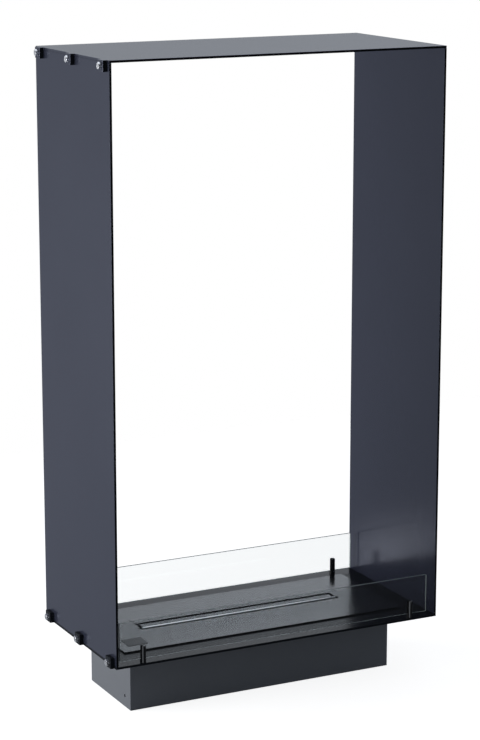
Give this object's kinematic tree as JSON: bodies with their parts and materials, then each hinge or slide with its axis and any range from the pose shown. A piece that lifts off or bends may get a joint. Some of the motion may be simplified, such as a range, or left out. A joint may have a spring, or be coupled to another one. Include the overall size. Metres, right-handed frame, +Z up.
{
  "type": "bioethanol fireplace",
  "caption": "Tall see-through built-in bioethanol fireplace: open steel frame, lift-out slot burner with snuffer lid, housing below, and low glass panes at front and back.",
  "frame": {"origin": "the point of the burner housing's underside below the middle of the frame's four panels, where the base mount lies", "axes": "+Z up, +X to the right across the opening as seen from the front, -Y towards the front pane"},
  "size_m": [0.6118, 0.298, 1.079],
  "materials": {
    "frame_coat": "semi-gloss anthracite powder coat",
    "plate_coat": "semi-gloss anthracite powder coat",
    "housing_coat": "satin anthracite powder coat",
    "zinc": "bright zinc plated",
    "stainless": "brushed",
    "black_steel": "black, semi-gloss",
    "silicone": "matt",
    "mineral_wool": "fibrous",
    "dark_film": "matt",
    "clear_glass": "clear, polished edges"
  },
  "bodies": {
    "frame": {"top_panel": "frame_coat", "floor_panel": "plate_coat", "left_panel": "frame_coat", "right_panel": "frame_coat", "left_studs": "zinc", "left_washers": "zinc", "left_nuts": "zinc", "burner_housing": "housing_coat", "housing_flange": "housing_coat", "housing_screws": "zinc", "housing_nuts": "zinc", "front_left_post": "black_steel", "front_right_post": "black_steel", "back_left_post": "black_steel", "back_right_post": "black_steel", "post_screws": "zinc", "set_screws": "black_steel", "glass_pads": "silicone"},
    "burner": {"burner_plate": "plate_coat", "slot_collar": "stainless", "burner_tank": "stainless", "absorbent_wool": "mineral_wool", "blank_plate": "dark_film"},
    "lid": {"snuffer_lid": "plate_coat", "lid_grip_rod": "stainless"},
    "front_pane": {"front_glass": "clear_glass"},
    "back_pane": {"back_glass": "clear_glass"}
  },
  "joints": [
    {"name": "burner_lift", "type": "slide", "parent": "frame", "child": "burner", "axis": [0, 0, 1], "range_m": [0, 0.12]},
    {"name": "lid_lift", "type": "slide", "parent": "burner", "child": "lid", "axis": [0, 0, 1], "range_m": [0, 0.06]},
    {"name": "front_pane_lift", "type": "slide", "parent": "frame", "child": "front_pane", "axis": [0, 0, 1], "range_m": [0, 0.06]},
    {"name": "back_pane_lift", "type": "slide", "parent": "frame", "child": "back_pane", "axis": [0, 0, 1], "range_m": [0, 0.06]}
  ]
}
